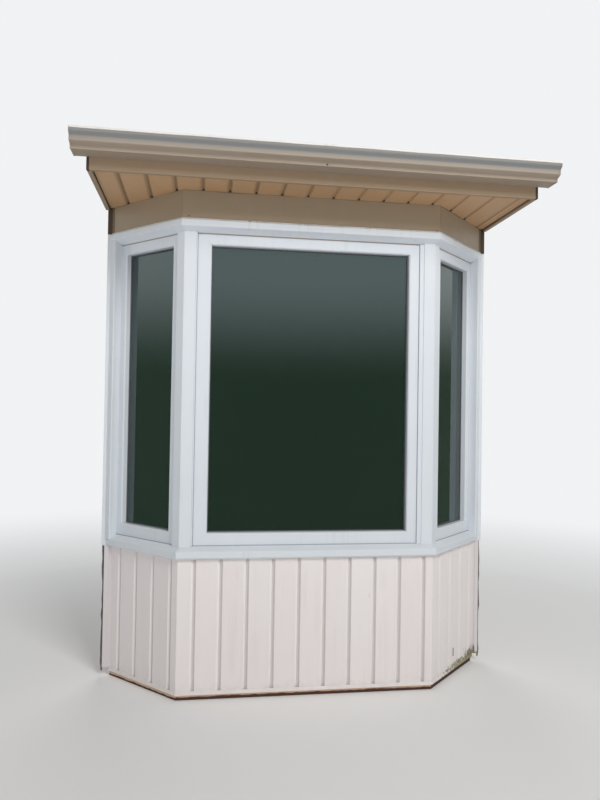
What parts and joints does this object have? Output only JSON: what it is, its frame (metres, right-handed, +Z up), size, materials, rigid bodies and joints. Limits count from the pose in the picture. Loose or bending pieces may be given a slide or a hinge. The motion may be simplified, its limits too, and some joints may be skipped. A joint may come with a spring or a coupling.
{
  "type": "bay window",
  "caption": "Three-sided bay window with fixed double-glazed lights, white posts and sills, a grooved knee wall below and a gutter eave above.",
  "frame": {"origin": "middle of the bay on the outer face of the house wall, at the underside of the base board", "axes": "+X right seen from outside, +Y into the house, +Z up; the front window faces -Y"},
  "size_m": [2.212, 0.827, 2.7963],
  "materials": {
    "white_vinyl": "satin white vinyl",
    "painted_lining": "white paint on smooth board",
    "framing_lumber": "sawn softwood",
    "sheathing_board": "pressed strand board",
    "siding": "matt, slightly grained",
    "siding_trim": "satin",
    "raw_board": "bare wood",
    "frieze_cover": "baked satin paint",
    "soffit_sheet": "baked satin paint",
    "gutter_metal": "baked satin paint",
    "hanger_metal": "mill",
    "spacer_metal": "dull",
    "pane": "clear, faintly green",
    "shingle": "mineral granules"
  },
  "bodies": {
    "root": {"base_board": "raw_board", "knee_wall_plates": "framing_lumber", "knee_wall_studs": "framing_lumber", "knee_wall_sheathing": "sheathing_board", "siding_left": "siding", "siding_centre": "siding", "siding_right": "siding", "siding_trim": "siding_trim", "sill_left": "white_vinyl", "sill_centre": "white_vinyl", "sill_right": "white_vinyl", "seat_board": "painted_lining", "head_board": "painted_lining", "left_jamb": "painted_lining", "right_jamb": "painted_lining", "left_corner_post": "white_vinyl", "right_corner_post": "white_vinyl", "left_wall_casing": "white_vinyl", "right_wall_casing": "white_vinyl", "centre_frame": "white_vinyl", "left_frame": "white_vinyl", "right_frame": "white_vinyl", "centre_bead": "white_vinyl", "left_bead": "white_vinyl", "right_bead": "white_vinyl", "centre_glass": "pane", "left_glass": "pane", "right_glass": "pane", "glazing_spacers": "spacer_metal", "head_trim_left": "white_vinyl", "head_trim_centre": "white_vinyl", "head_trim_right": "white_vinyl", "header_boards": "framing_lumber", "frieze_left": "frieze_cover", "frieze_centre": "frieze_cover", "frieze_right": "frieze_cover", "soffit_panels": "soffit_sheet", "fascia_board": "gutter_metal", "gutter": "gutter_metal", "gutter_end_caps": "gutter_metal", "gutter_hangers": "hanger_metal", "rafter_tails": "framing_lumber", "roof_deck": "sheathing_board", "shingles": "shingle", "eave_end_boards": "soffit_sheet"}
  },
  "joints": []
}
